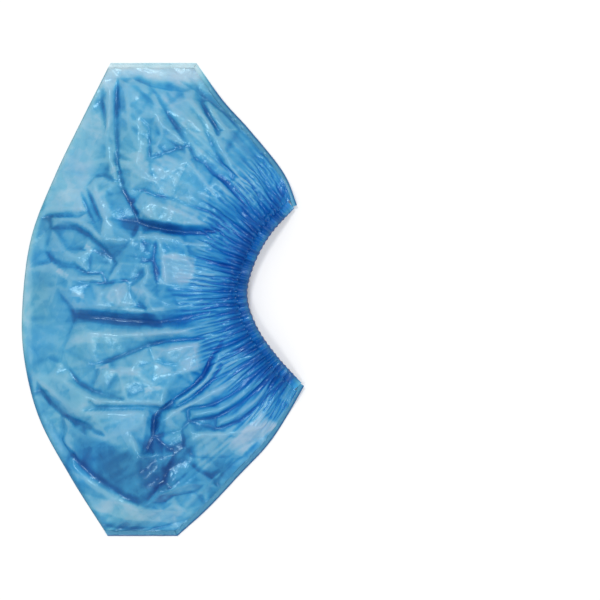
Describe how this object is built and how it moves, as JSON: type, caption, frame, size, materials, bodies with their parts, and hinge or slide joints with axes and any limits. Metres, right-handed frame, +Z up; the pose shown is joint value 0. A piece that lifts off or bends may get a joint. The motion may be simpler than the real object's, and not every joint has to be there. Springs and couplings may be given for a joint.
{
  "type": "disposable shoe cover",
  "caption": "Disposable overshoe of thin blue film, lying flat on its side, with an elasticated gathered mouth, welded toe and heel ends and a folded sole edge.",
  "frame": {"origin": "on the surface that the cover lies on, under the middle of its overall box", "axes": "+X points out of the gathered mouth, +Y to the toe end along the cover's length, +Z up from the surface"},
  "size_m": [0.1851, 0.31, 0.0236],
  "materials": {
    "film": "glossy crumpled film",
    "hem_film": "glossy gathered film",
    "elastic": "matt",
    "welded_film": "glossy, pressed flat"
  },
  "bodies": {
    "root": {"film_pouch": "film", "hem_upper": "hem_film", "hem_lower": "hem_film", "elastic_upper": "elastic", "elastic_lower": "elastic", "toe_weld": "welded_film", "heel_weld": "welded_film"}
  },
  "joints": []
}
